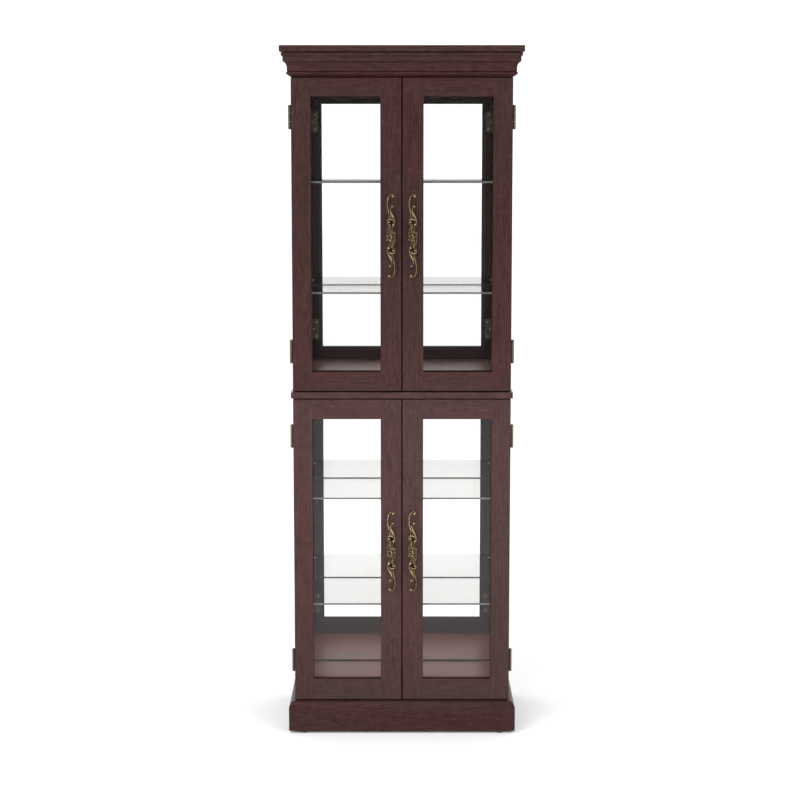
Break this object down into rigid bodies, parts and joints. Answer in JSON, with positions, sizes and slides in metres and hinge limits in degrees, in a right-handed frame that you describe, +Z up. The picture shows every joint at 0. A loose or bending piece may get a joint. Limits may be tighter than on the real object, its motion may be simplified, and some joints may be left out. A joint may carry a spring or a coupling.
{
  "type": "curio cabinet",
  "caption": "Tall two-section display cabinet with hinged glass doors, glass sides, a mirrored back, glass shelves, a cornice and a plinth.",
  "frame": {"origin": "centre of the bounding box's base, on the floor", "axes": "+Z up, -Y is the front with the doors, +X to the viewer's right"},
  "size_m": [0.622, 0.343, 1.8],
  "materials": {
    "cherry_laminate": "satin dark cherry wood-grain foil",
    "door_glass": "clear polished",
    "side_glass": "clear polished",
    "shelf_glass": "clear, ground and polished edges",
    "mirror": "silvered float glass",
    "antique_brass": "antique, dark in the recesses",
    "back_board": "matte hardboard",
    "glide_plastic": "matte",
    "catch_plastic": "matte",
    "steel": "bright zinc"
  },
  "bodies": {
    "case": {"plinth_front": "cherry_laminate", "plinth_left": "cherry_laminate", "plinth_right": "cherry_laminate", "front_rail": "cherry_laminate", "lower_floor_panel": "cherry_laminate", "middle_board": "cherry_laminate", "upper_floor_panel": "cherry_laminate", "upper_top_panel": "cherry_laminate", "cornice_moulding": "cherry_laminate", "cornice_top_board": "cherry_laminate", "foot_glide_front_left": "glide_plastic", "foot_glide_front_right": "glide_plastic", "foot_glide_back_left": "glide_plastic", "foot_glide_back_right": "glide_plastic", "lower_mirror": "mirror", "lower_back_panel": "back_board", "lower_low_glass_shelf": "shelf_glass", "lower_high_glass_shelf": "shelf_glass", "lower_magnetic_catch": "catch_plastic", "lower_left_side_frame": "cherry_laminate", "lower_left_side_glass": "side_glass", "lower_left_bottom_hinge_case_leaf": "antique_brass", "lower_left_top_hinge_case_leaf": "antique_brass", "lower_right_side_frame": "cherry_laminate", "lower_right_side_glass": "side_glass", "lower_right_bottom_hinge_case_leaf": "antique_brass", "lower_right_top_hinge_case_leaf": "antique_brass", "upper_mirror": "mirror", "upper_back_panel": "back_board", "upper_low_glass_shelf": "shelf_glass", "upper_high_glass_shelf": "shelf_glass", "upper_magnetic_catch": "catch_plastic", "upper_left_side_frame": "cherry_laminate", "upper_left_side_glass": "side_glass", "upper_left_bottom_hinge_case_leaf": "antique_brass", "upper_left_top_hinge_case_leaf": "antique_brass", "upper_right_side_frame": "cherry_laminate", "upper_right_side_glass": "side_glass", "upper_right_bottom_hinge_case_leaf": "antique_brass", "upper_right_top_hinge_case_leaf": "antique_brass"},
    "lower_left_door": {"lower_left_door_frame": "cherry_laminate", "lower_left_door_glass": "door_glass", "lower_left_handle": "antique_brass", "lower_left_bottom_hinge_door_leaf": "antique_brass", "lower_left_top_hinge_door_leaf": "antique_brass"},
    "lower_right_door": {"lower_right_door_frame": "cherry_laminate", "lower_right_door_glass": "door_glass", "lower_right_handle": "antique_brass", "lower_right_bottom_hinge_door_leaf": "antique_brass", "lower_right_top_hinge_door_leaf": "antique_brass"},
    "upper_left_door": {"upper_left_door_frame": "cherry_laminate", "upper_left_door_glass": "door_glass", "upper_left_handle": "antique_brass", "upper_left_bottom_hinge_door_leaf": "antique_brass", "upper_left_top_hinge_door_leaf": "antique_brass"},
    "upper_right_door": {"upper_right_door_frame": "cherry_laminate", "upper_right_door_glass": "door_glass", "upper_right_handle": "antique_brass", "upper_right_bottom_hinge_door_leaf": "antique_brass", "upper_right_top_hinge_door_leaf": "antique_brass"}
  },
  "joints": [
    {"name": "lower_left_door_hinge", "type": "hinge", "parent": "case", "child": "lower_left_door", "pos_m": [-0.288, -0.12375, 0.4905], "axis": [0, 0, -1], "range_deg": [0, 170]},
    {"name": "lower_right_door_hinge", "type": "hinge", "parent": "case", "child": "lower_right_door", "pos_m": [0.288, -0.12375, 0.4905], "axis": [0, 0, 1], "range_deg": [0, 170]},
    {"name": "upper_left_door_hinge", "type": "hinge", "parent": "case", "child": "upper_left_door", "pos_m": [-0.288, -0.12375, 1.3175], "axis": [0, 0, -1], "range_deg": [0, 170]},
    {"name": "upper_right_door_hinge", "type": "hinge", "parent": "case", "child": "upper_right_door", "pos_m": [0.288, -0.12375, 1.3175], "axis": [0, 0, 1], "range_deg": [0, 170]}
  ]
}
